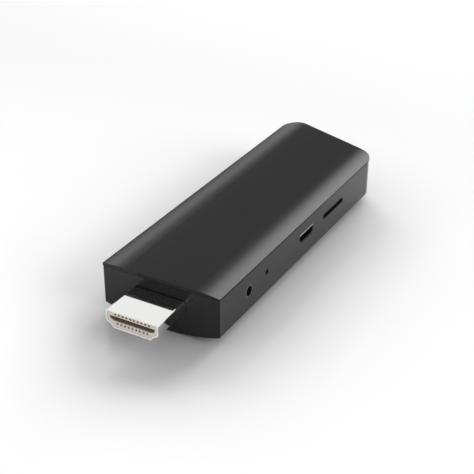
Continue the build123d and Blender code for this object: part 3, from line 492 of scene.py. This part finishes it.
def make_world():
    """Even surround, which camera, glossy and transmitted rays see as plain white."""
    world = bpy.data.worlds.new("surround")
    world.cycles.sampling_method = "NONE"
    scene.world = world
    tree = ShaderTree(world)
    rays = tree.add("ShaderNodeLightPath")
    seen = rays.outputs["Is Camera Ray"]
    for kind in ("Is Glossy Ray", "Is Transmission Ray"):
        seen = tree.out("ShaderNodeMath", {0: seen, 1: rays.outputs[kind]}, operation="MAXIMUM")
    level = between(tree, seen, 0.0, 1.0, SURROUND, 1.0)
    light = tree.out("ShaderNodeBackground", {"Strength": level, "Color": WHITE})
    tree.add("ShaderNodeOutputWorld", {"Surface": light})


def light_only(source, name, receivers):
    """Keeps a source's light to the receivers."""
    collection = bpy.data.collections.new(name)
    for receiver in receivers:
        collection.objects.link(receiver)
    source.light_linking.receiver_collection = collection


def make_lamp(name, around, up, width, level, receivers):
    """Far lamp that lights a white surface facing it to this level, and shows in no reflection."""
    data = bpy.data.lights.new(name, "SUN")
    data.energy = level * math.pi
    data.angle = math.radians(width)
    lamp = bpy.data.objects.new(name, data)
    lamp.rotation_euler = (math.radians(90 - up), 0, math.radians(around + 90))
    lamp.visible_glossy = False
    scene.collection.objects.link(lamp)
    light_only(lamp, name, receivers)


def make_lamps(floor, pieces):
    for around, share in FLOOR_LAMPS:
        level = share / math.sin(math.radians(FLOOR_LAMP_HEIGHT))
        make_lamp("floor_lamp", around, FLOOR_LAMP_HEIGHT, FLOOR_LAMP_WIDTH, level, [floor])
    for around, up, level in OBJECT_LAMPS:
        make_lamp("object_lamp", around, up, OBJECT_LAMP_WIDTH, level, pieces)


def screen_material():
    """Dim veil with glowing beams."""
    material, tree = new_material("screen")
    place = tree.add("ShaderNodeSeparateXYZ", {"Vector": coordinates(tree)})
    across, height = place.outputs["X"], place.outputs["Z"]
    lean = tree.out("ShaderNodeMath", {0: across, 1: height}, operation="DIVIDE")
    upwards, downwards = (between(tree, height, dark, clear) for dark, clear in SCREEN_VEIL)
    veil = tree.out("ShaderNodeMath", {0: upwards, 1: downwards}, operation="MAXIMUM")
    surface = tree.out("ShaderNodeBsdfTransparent", {"Color": veil})
    for start, full, gain in SCREEN_BEAMS:
        beam = between(tree, lean, start, full, high=gain, interpolation_type="SMOOTHSTEP")
        strength = tree.out("ShaderNodeMath", {0: beam, 1: height}, operation="MULTIPLY")
        glow = tree.out("ShaderNodeEmission", {"Strength": strength, "Color": WHITE})
        surface = tree.out("ShaderNodeAddShader", {0: surface, 1: glow})
    tree.add("ShaderNodeOutputMaterial", {"Surface": surface})
    return material


def flag_material():
    material, tree = new_material("flag")
    glow = tree.out("ShaderNodeEmission", {"Color": (FLAG_GLOW, FLAG_GLOW, FLAG_GLOW, 1)})
    tree.add("ShaderNodeOutputMaterial", {"Surface": glow})
    return material


def make_panel(name, extent, material):
    """Upright panel that only reflections show."""
    plane, (left, bottom), (right, top) = extent
    corners = ((left, bottom), (right, bottom), (right, top), (left, top))
    panel = add_quad(name, [(x * MM, plane * MM, z * MM) for x, z in corners], material)
    panel.visible_camera = False
    panel.visible_diffuse = False
    panel.visible_transmission = False
    panel.visible_shadow = False
    return panel


def make_panels():
    screen = make_panel("screen", SCREEN, screen_material())
    light_only(screen, "screen_receivers", [nodes["top_cover"]])
    make_panel("flag", FLAG, flag_material())


def make_materials():
    return {
        **{slot: moulded_plastic(slot, **look) for slot, look in MOULDED.items()},
        **{slot: plated_metal(slot, **look) for slot, look in PLATED.items()},
        "circuit_board": circuit_board("circuit_board"),
    }


def dress_nodes():
    materials = make_materials()
    for entry in record["subparts"]:
        piece = nodes[entry["node"]]
        piece.data.materials.clear()
        look = OWN_LOOKS.get(entry["node"], entry["material_slot"])
        piece.data.materials.append(materials[look])


def make_springs():
    """Copies that stand for the springs' rigid nodes, each with its own mesh, on the stick's body.
    """
    springs = []
    for node, joint in SPRINGS.items():
        spring = bpy.data.objects.new(node + "_shortening", nodes[node].data.copy())
        scene.collection.objects.link(spring)
        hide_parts(node)
        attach(spring, "stick")
        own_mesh(spring)
        springs.append(spring)
    return springs


dress_nodes()
make_world()
make_lamps(make_floor(), [*nodes.values(), *make_springs()])
make_panels()
make_camera()
scene.view_settings.view_transform = "Standard"
